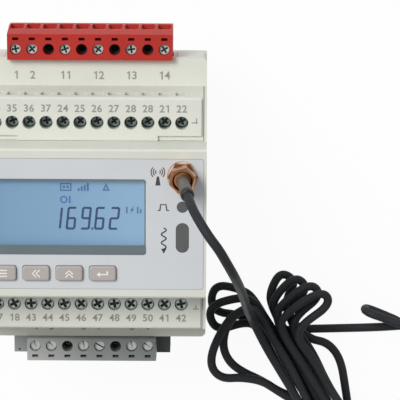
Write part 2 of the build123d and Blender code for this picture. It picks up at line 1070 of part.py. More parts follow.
def coupling_nut():
    """The hexagonal nut of the lead's connector, free to turn on the socket."""
    low, high = coupling_span()
    nut = hexagon(aerial_x, aerial_y, (low, high), coupling_across, coupling_turn)
    nut = fillet(nut.edges().filter_by(Axis.Z), coupling_round)
    nut = chamfer(nut.edges().group_by(Axis.Z)[-1], coupling_gap)
    floor = Plane((aerial_x, aerial_y, high - dish_depth))
    rim = Plane((aerial_x, aerial_y, high))
    nut -= loft([floor * Circle(dish_floor_r), rim * Circle(dish_r)])
    inner_top = high - coupling_wall
    nut -= peg(aerial_x, aerial_y, (low - overrun, inner_top), socket_r + thread_play)
    nut -= peg(aerial_x, aerial_y, (low - overrun, high + overrun), ferrule_r + thread_play)
    return nut


def lead_ferrule():
    """The body of the lead's connector, shouldered inside the nut and crimped on the lead."""
    shoulder_top = coupling_span()[1] - coupling_wall - thread_play
    ferrule = peg(aerial_x, aerial_y, (socket_top(), shoulder_top), socket_r - thread_play)
    return ferrule + peg(aerial_x, aerial_y, (socket_top(), boot_start() + ferrule_height), ferrule_r)


def boot_start():
    """The height at which the sleeve of the lead begins, in the dish of the nut."""
    return coupling_span()[1] - dish_depth + part_play


def lead_boot():
    """The dark sleeve of the connector, leaning towards the lead."""
    low = boot_start()
    start = Plane((aerial_x, aerial_y, low))
    end = boot_end()
    lean = Vector(*boot_lean, boot_length)
    boot = loft([start * Circle(boot_r), Plane(end, z_dir=lean) * Circle(boot_end_r)])
    bore = (low - overrun, low + ferrule_height)
    return boot - peg(aerial_x, aerial_y, bore, ferrule_r + guide_play / 2)


def boot_end():
    """The point where the lead leaves its sleeve."""
    return aerial_x + boot_lean[0], aerial_y + boot_lean[1], boot_start() + boot_length


# Aerial lead


def hank_point(along, beside, z):
    """A point of the hank, from its place along the hank and beside its middle line."""
    turn = math.radians(hank_angle)
    x = tie_place[0] + along * math.cos(turn) - beside * math.sin(turn)
    y = tie_place[1] + along * math.sin(turn) + beside * math.cos(turn)
    return x, y, z


def column_place(column):
    """The place of a column of strands beside the middle line of the tie."""
    return (column - (hank_columns - 1) / 2) * column_step


def tied_z(layer):
    """The height of a layer at the tie, over the lead that runs under it."""
    return rest_z + (layer + 1) * layer_step


def spread_z(layer):
    """The height of a layer past the tie, where the hank lies on the surface."""
    return rest_z + layer * layer_step


def long_loop(run, half, start, end, layer, from_tie=True, bulging=False):
    """A long loop from the start column out to its far turn and back to the end column."""
    angle, reach = run
    drift = math.sin(math.radians(angle - hank_angle))
    middle = (column_place(start) + column_place(end)) / 2
    out = half if column_place(start) > middle else -half

    def strand(along, beside):
        return hank_point(along, middle + along * drift + beside, spread_z(layer))

    points = []
    if from_tie:
        points.append(hank_point(neck_reach, column_place(start) * neck_share, tied_z(layer)))
    points += [
        strand(spread_reach, out * spread_share),
        strand(belly_share * reach, out),
        strand(reach, out * turn_share),
        strand(reach, -out * turn_share),
        strand(belly_share * reach, -out),
    ]
    if bulging:
        points += [hank_point(along, beside, rest_z + rise) for along, beside, rise in bulge]
    else:
        points.append(strand(spread_reach, -out * spread_share))
        points.append(hank_point(neck_reach, column_place(end) * neck_share, tied_z(layer)))
    return points


def short_loop(loop, start, end, heights):
    """A loop past the tie from the start column to the end column, by way of three heights."""
    angle, reach, half, root = loop
    start_z, tip_z, end_z = heights
    lean = math.radians(angle - hank_angle)
    ahead, aside = math.cos(lean), math.sin(lean)
    middle = (column_place(start) + column_place(end)) / 2

    def strand(outward, sideways, z):
        along = root + outward * ahead + sideways * aside
        return hank_point(along, middle + outward * aside - sideways * ahead, z)

    def blend(z):
        return z + (tip_z - z) * loop_blend_share

    out = (column_place(start) - middle + half * ahead) / aside
    back = (column_place(end) - middle - half * ahead) / aside
    leave = root + out * ahead + half * aside + loop_ease
    meet = root + back * ahead - half * aside + loop_ease
    return [
        hank_point(leave, column_place(start), start_z),
        strand(out + loop_ease, half, blend(start_z)),
        strand(reach, half, tip_z),
        strand(reach, -half, tip_z),
        strand(back + loop_ease, -half, blend(end_z)),
        hank_point(meet, column_place(end), end_z),
    ]


def stray_loop(places, layer):
    """A slack loop beside the tie that comes down to the next layer past it."""
    high = tied_z(layer)
    low = spread_z(layer - 1) + stray_rise
    steps = len(places) - 1 - stray_level
    points = []
    for index, (along, beside) in enumerate(places):
        fallen = max(0, index - stray_level) / steps
        points.append(hank_point(along, beside, high - (high - low) * fallen))
    return points


def hank_route():
    """The hank's corners, layer by layer from the top: two long loops and two short ones each."""
    strays = len(stray_loops)
    first, last = 0, hank_columns - 1
    points = [hank_point(tie_entry, column_place(first), tied_z(hank_layers - 1))]
    for index in range(hank_layers):
        layer = hank_layers - 1 - index
        z = tied_z(layer)
        lowest = layer == 0
        from_tie = index == 0 or index > strays
        points += long_loop(outer_runs[index], outer_half, first, last, layer, from_tie, lowest)
        tip_z = rest_z if lowest else z - loop_drop
        points += short_loop(right_loops[index], last, last - 1, (z, tip_z, z))
        points += long_loop(inner_runs[index], inner_half, last - 1, first + 1, layer)
        if index < strays:
            points += stray_loop(stray_loops[index], layer)
        elif lowest:
            heights = (z, rest_z, rest_z)
            points += short_loop(left_loops[index - strays], first + 1, first, heights)[:-1]
        else:
            below = tied_z(layer - 1)
            heights = (z, (z + below) / 2, below)
            points += short_loop(left_loops[index - strays], first + 1, first, heights)
    return points


def lead_route():
    """The corners of the whole lead, and the two at which its run and its hank end."""
    start = Vector(*boot_end())
    lean = Vector(*boot_lean, boot_length).normalized()
    drop = [tuple(start), tuple(start + lean * lead_exit_run), *lead_drop]
    hank = hank_route()
    run_end = len(drop) - run_end_corners
    hank_end = len(drop) + len(hank) + hank_end_corners
    return drop + hank + list(lead_tail), run_end, hank_end


def lead_corners(route):
    """The tangent length and the bend radius at each inner corner of a route."""
    corners = []
    for before, corner, after in zip(route, route[1:], route[2:]):
        come = Vector(*corner) - Vector(*before)
        go = Vector(*after) - Vector(*corner)
        tangent = tangent_share * min(come.length, go.length)
        corners.append((tangent, tangent / math.tan(math.radians(come.get_angle(go)) / 2)))
    return corners


def meeting_place(route, corners, index):
    """The middle of the straight stretch after a corner, where two lengths of the lead meet."""
    start = Vector(*route[index])
    run = Vector(*route[index + 1]) - start
    straight = run.length - corners[index - 1][0] - corners[index][0]
    return tuple(start + run.normalized() * (corners[index - 1][0] + straight / 2))


def lead_lengths():
    """The three lengths of the lead as tubes, with their paths: free run, hank and tail."""
    route, run_end, hank_end = lead_route()
    corners = lead_corners(route)
    first = meeting_place(route, corners, run_end)
    second = meeting_place(route, corners, hank_end)
    radii = [radius for tangent, radius in corners]
    lengths = (
        (route[: run_end + 1] + [first], radii[:run_end]),
        ([first] + route[run_end + 1 : hank_end + 1] + [second], radii[run_end:hank_end]),
        ([second] + route[hank_end + 1 :], radii[hank_end:]),
    )
    tubes = []
    for points, bends in lengths:
        path = FilletPolyline(*points, radius=bends)
        section = Plane(path @ 0, z_dir=path % 0) * RegularPolygon(cord_d / 2, tube_sides)
        tubes.append((sweep(section, path), path, section.area))
    return tubes, radii


def least_gap(paths):
    """The least clear distance between two stretches of the lead, on points along it."""
    samples = []
    gone = 0
    for path in paths:
        for edge in path.edges():
            for step in range(gap_steps):
                samples.append((edge @ (step / gap_steps), gone + edge.length * step / gap_steps))
            gone += edge.length
    samples.sort(key=lambda sample: sample[0].X)
    least = math.inf
    for index, (point, place) in enumerate(samples):
        for other, other_place in samples[index + 1 :]:
            if other.X - point.X > least:
                break
            if abs(place - other_place) > gap_skip:
                least = min(least, (other - point).length)
    return least - cord_d


def aerial_middle():
    """The middle of the aerial's foot, in line with the end of the lead."""
    before, end = (Vector(*point) for point in lead_tail[-2:])
    return end + (end - before).normalized() * (foot_r + foot_sleeve_reach)


def aerial_foot():
    """The round foot of the aerial, with the sleeve that the lead goes into."""
    middle = aerial_middle()
    foot = peg(middle.X, middle.Y, (0, foot_height), foot_r)
    foot = fillet(foot.edges().group_by(Axis.Z)[-1], foot_round)
    end = Vector(*lead_tail[-1])
    sleeve = Plane(end, z_dir=middle - end) * Circle(foot_sleeve_r)
    return foot + extrude(sleeve, amount=foot_sleeve_reach + foot_round)


def aerial_whip():
    """The tapered aerial rod and its collar."""
    middle = aerial_middle()
    base = Plane((middle.X, middle.Y, foot_height))
    tip = Plane((middle.X, middle.Y, foot_height + whip_height))
    whip = loft([base * Circle(whip_r), tip * Circle(whip_tip_r)])
    whip = fillet(whip.edges().group_by(Axis.Z)[-1], whip_tip_r / 2)
    return whip + peg(middle.X, middle.Y, (foot_height, foot_height + whip_collar_height), whip_collar_r)


# Boards and what they carry


def board(z, breadth):
    """A circuit board about the middle of the meter, drilled for the tie screws."""
    plate = slab(0, 0, board_length, breadth, board_thickness, (z, z + board_thickness))
    hole = (z - overrun, z + board_thickness + overrun)
    return plate - [peg(x, y, hole, tie_r + tie_play) for x, y in tie_places]


def power_board():
    """The board of the supply and the current sensors."""
    return board(power_board_z, power_board_height)


def main_board():
    """The board that carries both terminal rows."""
    return board(main_board_z, main_board_height)


def display_board():
    """The board under the display panel."""
    return board(display_board_z, display_board_height)


def spacers():
    """The tubes that keep the boards apart."""
    tubes = []
    spans = (
        (power_board_z + board_thickness, main_board_z),
        (main_board_z + board_thickness, display_board_z),
    )
    for x, y in tie_places:
        for low, high in spans:
            tube = peg(x, y, (low, high), spacer_r)
            tubes.append(tube - peg(x, y, (low - overrun, high + overrun), tie_r + tie_play))
    return tubes


def tie_screws():
    """The long screws that draw the three boards down to the base."""
    head_foot = display_board_z + board_thickness
    foot = seat_z + floor_thickness + board_thickness
    screws = []
    for x, y in tie_places:
        screw = peg(x, y, (foot, head_foot), tie_r)
        screws.append(screw + peg(x, y, (head_foot, head_foot + tie_head_height), tie_head_r))
    return screws


def current_sensors():
    """The ring cores of the three current inputs."""
    low = power_board_z + board_thickness
    rings = []
    for index in range(sensor_count):
        x = (index - (sensor_count - 1) / 2) * sensor_pitch
        ring = peg(x, sensor_y, (low, low + sensor_height), sensor_r)
        rings.append(ring - peg(x, sensor_y, (low - overrun, low + sensor_height + overrun), sensor_bore_r))
    return rings


def on_board(place, size, low):
    """A plain component body standing on a board."""
    x, y = place
    length, breadth, tall = size
    return block(
        (x - length / 2, x + length / 2), (y - breadth / 2, y + breadth / 2), (low, low + tall)
    )


def supply_transformer():
    """The mains transformer on the power board."""
    body = on_board(transformer_place, transformer_size, power_board_z + board_thickness)
    return chamfer(body.edges().filter_by(Axis.Z), board_thickness)


def output_relays():
    """The relays of the switching outputs."""
    low = power_board_z + board_thickness
    return [on_board(place, relay_size, low) for place in relay_places]


def buffer_capacitor():
    """The supply's storage capacitor."""
    low = power_board_z + board_thickness
    return peg(*capacitor_place, (low, low + capacitor_height), capacitor_r)


def radio_module():
    """The screened radio module on the main board."""
    return on_board(radio_place, radio_size, main_board_z + board_thickness)


parts = {
    "rear_base": rear_base(),
    "front_shell": front_shell(),
    "front_label": front_label(),
    "display_window": display_window(),
    "display_glass": display_glass(),
    "backlight": backlight(),
    "rail_latch": rail_latch(),
    "key_switches": key_switches(),
    "pulse_lamp": pulse_lamp(),
    "infrared_window": infrared_window(),
    "aerial_socket": aerial_socket(),
    "socket_locknut": socket_locknut(),
    "coupling_nut": coupling_nut(),
    "lead_ferrule": lead_ferrule(),
    "lead_boot": lead_boot(),
    "power_board": power_board(),
    "main_board": main_board(),
    "display_board": display_board(),
    "board_spacers": spacers(),
    "tie_screws": tie_screws(),
    "current_sensors": current_sensors(),
    "supply_transformer": supply_transformer(),
    "output_relays": output_relays(),
    "buffer_capacitor": buffer_capacitor(),
    "radio_module": radio_module(),
    "aerial_foot": aerial_foot(),
    "aerial_whip": aerial_whip(),
}
tubes, bend_radii = lead_lengths()
for name, (tube, path, area) in zip(("cord_run", "cord_hank", "cord_tail"), tubes):
    parts[name] = tube
    share = tube.volume / (area * path.length)
    print(f"{name}: length {path.length:.1f}, volume over section times length {share:.4f}")
print("bend radii:", " ".join(f"{radius:.1f}" for radius in bend_radii))
print(f"least gap of the lead to itself: {least_gap([path for tube, path, area in tubes]):.2f}")
for index, name in enumerate(("menu", "back", "up", "enter")):
    parts[f"button_{name}"] = button(index)
for side, name in ((1, "top"), (-1, "bottom")):
    parts[f"{name}_terminal_cover"] = terminal_cover(side)
    parts[f"{name}_terminal_body"] = terminal_body(side)
    parts[f"{name}_terminal_clamps"] = terminal_clamps(side)
    parts[f"{name}_terminal_screws"] = terminal_screws(side)
    parts[f"{name}_header"] = plug_header(side)
    parts[f"{name}_header_pins"] = header_pins(side)
    parts[f"{name}_plug_body"] = plug_body(side)
    parts[f"{name}_plug_clamps"] = plug_clamps(side)
    parts[f"{name}_plug_screws"] = plug_screws(side)

os.makedirs("parts", exist_ok=True)
for name, shape in parts.items():
    if isinstance(shape, (list, tuple)):
        shape = Compound([solid for piece in shape for solid in piece.solids()])
    export_step(shape, f"parts/{name}.step")
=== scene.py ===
import math

import bmesh
import bpy
from mathutils import Matrix, Vector


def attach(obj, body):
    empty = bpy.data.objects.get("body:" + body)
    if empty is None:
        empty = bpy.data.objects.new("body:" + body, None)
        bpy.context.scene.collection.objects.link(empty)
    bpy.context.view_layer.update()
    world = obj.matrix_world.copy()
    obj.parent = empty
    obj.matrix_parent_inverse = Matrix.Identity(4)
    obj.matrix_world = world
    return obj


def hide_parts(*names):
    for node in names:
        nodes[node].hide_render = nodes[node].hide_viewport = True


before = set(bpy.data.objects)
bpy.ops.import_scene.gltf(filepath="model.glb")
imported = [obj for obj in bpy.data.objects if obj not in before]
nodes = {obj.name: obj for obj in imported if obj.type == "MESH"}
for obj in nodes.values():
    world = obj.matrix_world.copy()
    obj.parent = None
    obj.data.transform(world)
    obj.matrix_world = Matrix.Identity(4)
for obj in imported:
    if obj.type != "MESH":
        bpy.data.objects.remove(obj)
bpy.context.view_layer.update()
MM = 0.001

# Sizes that the CAD model has too, in mm

pitch = 5.08
deck_z = 60.0
step_z = 37.0
depth = 74.0
plug_x = 2.0
plug_face_z = 39.5
lcd_z = 71.9
window_seat = 72.2
hole_y = 28.0
top_screw_drop = 4.0
bottom_screw_drop = 0.8
row_screw_foot = 48.7
row_head_r = 1.75
plug_screw_y = 47.2
plug_screw_drop = 1.2
plug_screw_foot = 33.3
plug_head_r = 1.65
head_height = 1.6
shank_r = 1.15
key_rise = 1.1
key_step = 9.86

# How far prints stand proud of what they are on

print_lift = 0.03
lcd_print_lift = 0.04
margin_lift = 0.02


# Materials


def srgb(red, green, blue):
    """A colour given as the photograph's 0 to 255 values, as linear light."""
    shares = [value / 255 for value in (red, green, blue)]
    return tuple(s / 12.92 if s <= 0.04045 else ((s + 0.055) / 1.055) ** 2.4 for s in shares) + (1.0,)


def scaled(colour, factor):
    return tuple(min(1.0, c * factor) for c in colour[:3]) + (1.0,)


def surface(
    name, colour, rough=0.5, grain=1600.0, bump=0.1, vary=0.05, patch=70.0, metallic=0.0, **sockets
):
    """A moulded or metal surface: faint colour patches, uneven gloss and a fine grain."""
    mat = bpy.data.materials.new(name)
    mat.use_nodes = True
    tree = mat.node_tree
    links = tree.links
    shader = tree.nodes["Principled BSDF"]
    coords = tree.nodes.new("ShaderNodeTexCoord")
    patches = tree.nodes.new("ShaderNodeTexNoise")
    patches.inputs["Scale"].default_value = patch
    patches.inputs["Detail"].default_value = 4.0
    fine = tree.nodes.new("ShaderNodeTexNoise")
    fine.inputs["Scale"].default_value = grain
    fine.inputs["Detail"].default_value = 3.0
    ramp = tree.nodes.new("ShaderNodeValToRGB")
    ramp.color_ramp.elements[0].position = 0.3
    ramp.color_ramp.elements[1].position = 0.7
    ramp.color_ramp.elements[0].color = scaled(colour, 1 - vary)
    ramp.color_ramp.elements[1].color = scaled(colour, 1 + vary)
    gloss = tree.nodes.new("ShaderNodeMapRange")
    gloss.inputs["To Min"].default_value = max(0.02, rough - 0.07)
    gloss.inputs["To Max"].default_value = min(1.0, rough + 0.07)
    relief = tree.nodes.new("ShaderNodeBump")
    relief.inputs["Strength"].default_value = bump
    relief.inputs["Distance"].default_value = 0.00015
    for noise in (patches, fine):
        links.new(coords.outputs["Object"], noise.inputs["Vector"])
    links.new(patches.outputs["Fac"], ramp.inputs["Fac"])
    links.new(ramp.outputs["Color"], shader.inputs["Base Color"])
    links.new(fine.outputs["Fac"], gloss.inputs["Value"])
    links.new(gloss.outputs["Result"], shader.inputs["Roughness"])
    links.new(fine.outputs["Fac"], relief.inputs["Height"])
    links.new(relief.outputs["Normal"], shader.inputs["Normal"])
    shader.inputs["Metallic"].default_value = metallic
    for socket, value in sockets.items():
        shader.inputs[socket.replace("_", " ")].default_value = value
    return mat


def shaded_along_x(mat, start, end, colours):
    """Gives a surface evenly spread colours from one place in X to another, in mm."""
    tree = mat.node_tree
    links = tree.links
    shader = tree.nodes["Principled BSDF"]
    coords = tree.nodes["Texture Coordinate"]
    split = tree.nodes.new("ShaderNodeSeparateXYZ")
    along = tree.nodes.new("ShaderNodeMapRange")
    along.inputs["From Min"].default_value = start * MM
    along.inputs["From Max"].default_value = end * MM
    shade = tree.nodes.new("ShaderNodeValToRGB")
    stops = shade.color_ramp.elements
    for index in range(1, len(colours) - 1):
        stops.new(index / (len(colours) - 1))
    for stop, colour in zip(stops, colours):
        stop.color = colour
    links.new(coords.outputs["Object"], split.inputs["Vector"])
    links.new(split.outputs["X"], along.inputs["Value"])
    links.new(along.outputs["Result"], shade.inputs["Fac"])
    links.new(shade.outputs["Color"], shader.inputs["Base Color"])
    return shade


def lit_display(name):
    """The backlit blue cell, a little lighter towards its right end."""
    mat = surface(name, srgb(128, 164, 194), rough=0.35, grain=3000.0, bump=0.02, vary=0.03)
    shade = shaded_along_x(mat, -25, 20, [srgb(113, 153, 184), srgb(122, 161, 193), srgb(137, 174, 204)])
    shader = mat.node_tree.nodes["Principled BSDF"]
    mat.node_tree.links.new(shade.outputs["Color"], shader.inputs["Emission Color"])
    shader.inputs["Emission Strength"].default_value = 0.12
    return mat


housing = surface("housing", srgb(219, 221, 211), rough=0.48, grain=2200.0, bump=0.12, vary=0.02)
label = surface("label", srgb(211, 215, 218), rough=0.36, grain=3200.0, bump=0.06, vary=0.02)
window = surface("window", srgb(225, 232, 238), rough=0.08, grain=400.0, bump=0.01, vary=0.01, Alpha=0.03)
display = lit_display("display")
display_frame = surface("display_frame", srgb(106, 118, 123), rough=0.4, vary=0.04)
dark_plastic = surface("dark_plastic", srgb(48, 50, 46), rough=0.6, vary=0.1)
smoked = surface("smoked", srgb(93, 95, 94), rough=0.3, vary=0.05, patch=300.0)
gold = surface(
    "gold", srgb(206, 146, 102), rough=0.18, grain=900.0, bump=0.05, vary=0.2, patch=500.0, metallic=1.0
)
sleeve = surface("sleeve", srgb(98, 92, 86), rough=0.5, grain=1200.0, bump=0.2, vary=0.08)
rubber = surface("rubber", srgb(40, 40, 41), rough=0.5, grain=1200.0, bump=0.25, vary=0.1)
jacket = surface(
    "jacket", srgb(50, 52, 55), grain=300.0, bump=0.0, vary=0.08, patch=150.0, Specular_IOR_Level=0.1
)
board = surface("board", srgb(40, 100, 60), rough=0.35, vary=0.12, patch=250.0)
nylon = surface("nylon", srgb(214, 212, 205), rough=0.5, vary=0.04)
can = surface("can", srgb(186, 187, 190), rough=0.3, metallic=1.0, vary=0.05)
steel = surface(
    "steel", srgb(178, 180, 176), rough=0.34, grain=1400.0, bump=0.2, vary=0.14, patch=900.0, metallic=1.0
)
# The screws' steel for the sunk top-row heads, made darker as painted shade of their deep holes
hole_shaded_steel = surface(
    "hole_shaded_steel", srgb(150, 166, 164), rough=0.4, bump=0.3, vary=0.25, patch=900.0, metallic=0.7
)
# Painted shade: a dark colour for the walls and floor of the cuts in the screw heads
recess_shade = surface("recess_shade", srgb(62, 78, 80), rough=0.5, bump=0.2, vary=0.2, patch=900.0, metallic=0.3)
# Painted shade: the clamps inside the plugs are made dark so that the empty wire holes show dark
clamp_hole_shade = surface("clamp_hole_shade", srgb(58, 60, 62), rough=0.5, bump=0.2, vary=0.2, patch=900.0, metallic=0.4)
terminal = surface("terminal", srgb(176, 180, 174), rough=0.5, vary=0.04)
pale_steel = surface(
    "pale_steel", srgb(206, 214, 210), rough=0.42, bump=0.3, vary=0.1, patch=900.0, metallic=0.35
)
bright_steel = surface(
    "bright_steel", srgb(222, 230, 226), rough=0.45, bump=0.3, vary=0.08, patch=900.0, metallic=0.15
)
tin = surface("tin", srgb(200, 200, 196), rough=0.25, metallic=1.0, vary=0.05)
key = surface("key", srgb(181, 174, 171), rough=0.42, grain=2600.0, bump=0.08, vary=0.03)
latch = surface("latch", srgb(168, 170, 162), rough=0.5, vary=0.05)
# Painted light and shade: the header runs lighter at its left end and darker at its right end
header = surface("header", srgb(104, 108, 108), rough=0.5, vary=0.05)
shaded_along_x(header, -22, 26, [srgb(164, 167, 166), srgb(104, 108, 108), srgb(64, 68, 69)])
red_plug = surface(
    "red_plug", srgb(184, 48, 40), grain=2000.0, bump=0.12, vary=0.06, Specular_IOR_Level=0.25
)
# Painted light and shade: the grey plug runs lighter at its left end and darker at its right end
grey_plug = surface("grey_plug", srgb(146, 150, 149), rough=0.5, grain=2000.0, bump=0.12, vary=0.05)
shaded_along_x(grey_plug, -19, 23, [srgb(188, 190, 187), srgb(144, 147, 146), srgb(126, 130, 131)])
ink = surface("ink", srgb(150, 150, 142), rough=0.5, vary=0.05, patch=900.0)
dark_ink = surface("dark_ink", srgb(66, 66, 64), rough=0.5, vary=0.08, patch=900.0)
white_ink = surface("white_ink", srgb(240, 236, 232), rough=0.45, vary=0.03, patch=900.0)
segment_ink = surface("segment_ink", srgb(22, 58, 122), rough=0.4, vary=0.08, patch=900.0)
faint_ink = surface("faint_ink", srgb(66, 112, 168), rough=0.4, vary=0.08, patch=900.0)

# Material of each CAD node

carried = {
    "rear_base": housing,
    "front_shell": housing,
    "front_label": label,
    "display_window": window,
    "display_glass": display,
    "backlight": display_frame,
    "rail_latch": latch,
    "key_switches": dark_plastic,
    "pulse_lamp": smoked,
    "infrared_window": smoked,
    "aerial_socket": gold,
    "socket_locknut": gold,
    "coupling_nut": gold,
    "lead_ferrule": gold,
    "lead_boot": sleeve,
    "power_board": board,
    "main_board": board,
    "display_board": board,
    "board_spacers": nylon,
    "tie_screws": steel,
    "current_sensors": dark_plastic,
    "supply_transformer": dark_plastic,
    "output_relays": nylon,
    "buffer_capacitor": can,
    "radio_module": can,
    "aerial_foot": rubber,
    "aerial_whip": rubber,
    "top_plug_body": red_plug,
    "bottom_plug_body": grey_plug,
}
for word in ("menu", "back", "up", "enter"):
    carried[f"button_{word}"] = key
for edge in ("top", "bottom"):
    carried[f"{edge}_terminal_cover"] = housing
    carried[f"{edge}_terminal_body"] = terminal
    carried[f"{edge}_terminal_clamps"] = steel
    carried[f"{edge}_terminal_screws"] = steel
    carried[f"{edge}_header_pins"] = tin
    # The plug clamps take the painted shade of the empty wire holes
    carried[f"{edge}_plug_clamps"] = clamp_hole_shade
    carried[f"{edge}_plug_screws"] = pale_steel
carried["top_header"] = nylon
carried["bottom_header"] = header
for name, mat in carried.items():
    node = nodes[name]
    if not node.material_slots:
        node.data.materials.append(mat)
    for place in node.material_slots:
        place.material = mat


# Aerial lead, in mm: the CAD route, with the hank's loops drawn closer together as photographed

cord_d = 2.8
rest_z = 1.5
boot_end = Vector((32.4, 12.8, 91.9))
boot_lean = Vector((1.5, -1.8, 11.2)).normalized()
lead_exit_run = 5.5
lead_drop = (
    (34.3, 10.2, 102.3),
    (36.2, 7.7, 106.3),
    (38.7, 4.2, 108.7),
    (41.5, 0.6, 109.2),
    (43.8, -3.8, 107.4),
    (46.0, -8.7, 102.7),
    (47.6, -14.5, 91.0),
    (48.9, -21.5, 73.0),
    (50.2, -29.5, 52.0),
    (51.7, -38.0, 31.5),
    (52.9, -42.4, 21.0),
)
tie_place = (60.0, -47.0)
hank_angle = -62.0
hank_layers = 4
hank_columns = 4
layer_step = 3.5
column_step = 3.4
tie_entry = 4.0
neck_reach = 15.0
neck_share = 1.12
spread_reach = 30.0
spread_share = 0.8
belly_share = 0.7
turn_share = 0.9

# Long loops, each as angle, reach and half its width

outer_runs = ((-59.6, 78.0, 6.9), (-63.0, 72.0, 5.2), (-60.4, 82.0, 6.4), (-63.6, 75.0, 5.6))
inner_runs = ((-60.4, 61.0, 3.3), (-62.4, 56.0, 1.6), (-61.0, 64.0, 2.9), (-62.8, 58.0, 1.9))
least_tip = 3.0
tied_shifts = (0.0, 1.5, -0.5, 1.1)

# Short loops, each as angle, reach, half its width and root along the hank

loop_ease = 3.2
loop_drop = 0.8
loop_blend_share = 0.2
right_loops = (
    (35.0, 17.0, 3.0, 1.5),
    (38.0, 15.0, 3.0, -1.0),
    (45.0, 12.0, 3.0, -3.5),
    (56.0, 9.0, 3.0, -5.0),
)
left_loops = ((198.0, 14.5, 4.6, -7.0), (174.0, 13.6, 4.8, -7.0))

# Slack loops, as places along the hank and beside it: they keep their height up to place stray_level

stray_level = 4
stray_rise = 1.6
stray_loops = (
    (
        (4.0, -1.7),
        (-4.0, -1.9),
        (-9.0, -4.4),
        (-9.6, -9.6),
        (-6.0, -16.2),
        (-0.6, -22.4),
        (4.4, -24.6),
        (9.0, -22.8),
        (11.6, -17.4),
        (16.4, -11.6),
        (22.5, -8.8),
    ),
    (
        (4.0, -1.7),
        (-3.6, -1.9),
        (-8.4, -3.8),
        (-8.8, -8.6),
        (-6.0, -14.2),
        (-0.4, -18.2),
        (5.6, -18.8),
        (11.0, -16.6),
        (16.6, -12.6),
        (23.0, -9.4),
    ),
)

# The way back of the lowest loop, which bulges out: along the hank, beside it, and above the surface

bulge = ((34.0, 10.6, 0.0), (24.0, 13.8, 0.0), (16.5, 12.6, 1.5), (12.0, 7.5, 3.5))

# From the hank's end: out to the right, back over itself, and on to the aerial's foot

lead_tail = (
    (60.0, -52.4, 1.5),
    (70.0, -51.6, 1.5),
    (81.0, -51.3, 1.5),
    (97.0, -50.8, 1.5),
    (106.0, -50.0, 1.5),
    (114.0, -50.6, 1.5),
    (122.5, -54.0, 1.5),
    (126.5, -61.0, 1.5),
    (123.0, -68.0, 1.5),
    (115.5, -68.5, 1.5),
    (110.0, -62.5, 1.5),
    (107.4, -54.0, 4.9),
    (103.4, -48.2, 4.9),
    (98.0, -46.3, 2.8),
    (91.0, -43.8, 1.5),
    (91.0, -43.8, 8.3),
    (98.0, -46.3, 8.0),
    (103.4, -48.2, 8.8),
    (109.2, -48.4, 7.4),
    (114.4, -45.6, 4.5),
    (120.0, -42.4, 4.5),
)


def hank_point(along, beside, z):
    """A point from the tie, along the hank and beside its middle line."""
    turn = math.radians(hank_angle)
    x = tie_place[0] + along * math.cos(turn) - beside * math.sin(turn)
    y = tie_place[1] + along * math.sin(turn) + beside * math.cos(turn)
    return x, y, z


def column_place(column):
    """The place of a column of strands beside the middle line of the tie."""
    return (column - (hank_columns - 1) / 2) * column_step


def tied_z(layer):
    """The height of a layer at the tie, over the lead that runs under it."""
    return rest_z + (layer + 1) * layer_step


def spread_z(layer):
    """The height of a layer past the tie, where the hank lies on the surface."""
    return rest_z + layer * layer_step


def long_loop(run, start, end, layer, from_tie=True, bulging=False):
    """A long loop from the start column out to its far turn and back to the end column."""
    angle, reach, half = run
    drift = math.sin(math.radians(angle - hank_angle))
    middle = (column_place(start) + column_place(end)) / 2
    out = half if column_place(start) > middle else -half
    tip = math.copysign(max(half * turn_share, least_tip), out)

    def strand(along, beside):
        return hank_point(along, middle + along * drift + beside, spread_z(layer))

    def neck(column):
        return hank_point(neck_reach, column_place(column) * neck_share + tied_shifts[layer], tied_z(layer))

    points = [neck(start)] if from_tie else []
    points += [
        strand(spread_reach, out * spread_share),
        strand(belly_share * reach, out),
        strand(reach, tip),
        strand(reach, -tip),
        strand(belly_share * reach, -out),
    ]
    if bulging:
        points += [hank_point(along, beside, rest_z + rise) for along, beside, rise in bulge]
    else:
        points += [strand(spread_reach, -out * spread_share), neck(end)]
    return points


def short_loop(loop, start, end, heights):
    """A loop past the tie from the start column to the end column, by way of three heights."""
    angle, reach, half, root = loop
    start_z, tip_z, end_z = heights
    lean = math.radians(angle - hank_angle)
    ahead, aside = math.cos(lean), math.sin(lean)
    middle = (column_place(start) + column_place(end)) / 2

    def strand(outward, sideways, z):
        along = root + outward * ahead + sideways * aside
        return hank_point(along, middle + outward * aside - sideways * ahead, z)

    def blend(z):
        return z + (tip_z - z) * loop_blend_share

    out = (column_place(start) - middle + half * ahead) / aside
    back = (column_place(end) - middle - half * ahead) / aside
    leave = root + out * ahead + half * aside + loop_ease
    meet = root + back * ahead - half * aside + loop_ease
    return [
        hank_point(leave, column_place(start), start_z),
        strand(out + loop_ease, half, blend(start_z)),
        strand(reach, half, tip_z),
        strand(reach, -half, tip_z),
        strand(back + loop_ease, -half, blend(end_z)),
        hank_point(meet, column_place(end), end_z),
    ]


def stray_loop(places, layer):
    """A slack loop beside the tie that comes down to the next layer past it."""
    high = tied_z(layer)
    low = spread_z(layer - 1) + stray_rise
    steps = len(places) - 1 - stray_level
    return [
        hank_point(along, beside, high - (high - low) * max(0, index - stray_level) / steps)
        for index, (along, beside) in enumerate(places)
    ]


def hank_route():
    """The hank's corners from the top layer down, with a side loop after each long loop."""
    strays = len(stray_loops)
    points = [hank_point(tie_entry, column_place(0), tied_z(hank_layers - 1))]
    for index in range(hank_layers):
        layer = hank_layers - 1 - index
        z = tied_z(layer)
        lowest = layer == 0
        from_tie = index == 0 or index > strays
        points += long_loop(outer_runs[index], 0, 3, layer, from_tie, lowest)
        tip_z = rest_z if lowest else z - loop_drop
        points += short_loop(right_loops[index], 3, 2, (z, tip_z, z))
        points += long_loop(inner_runs[index], 2, 1, layer)
        if index < strays:
            points += stray_loop(stray_loops[index], layer)
        elif lowest:
            points += short_loop(left_loops[index - strays], 1, 0, (z, rest_z, rest_z))[:-1]
        else:
            below = tied_z(layer - 1)
            points += short_loop(left_loops[index - strays], 1, 0, (z, (z + below) / 2, below))
    return points


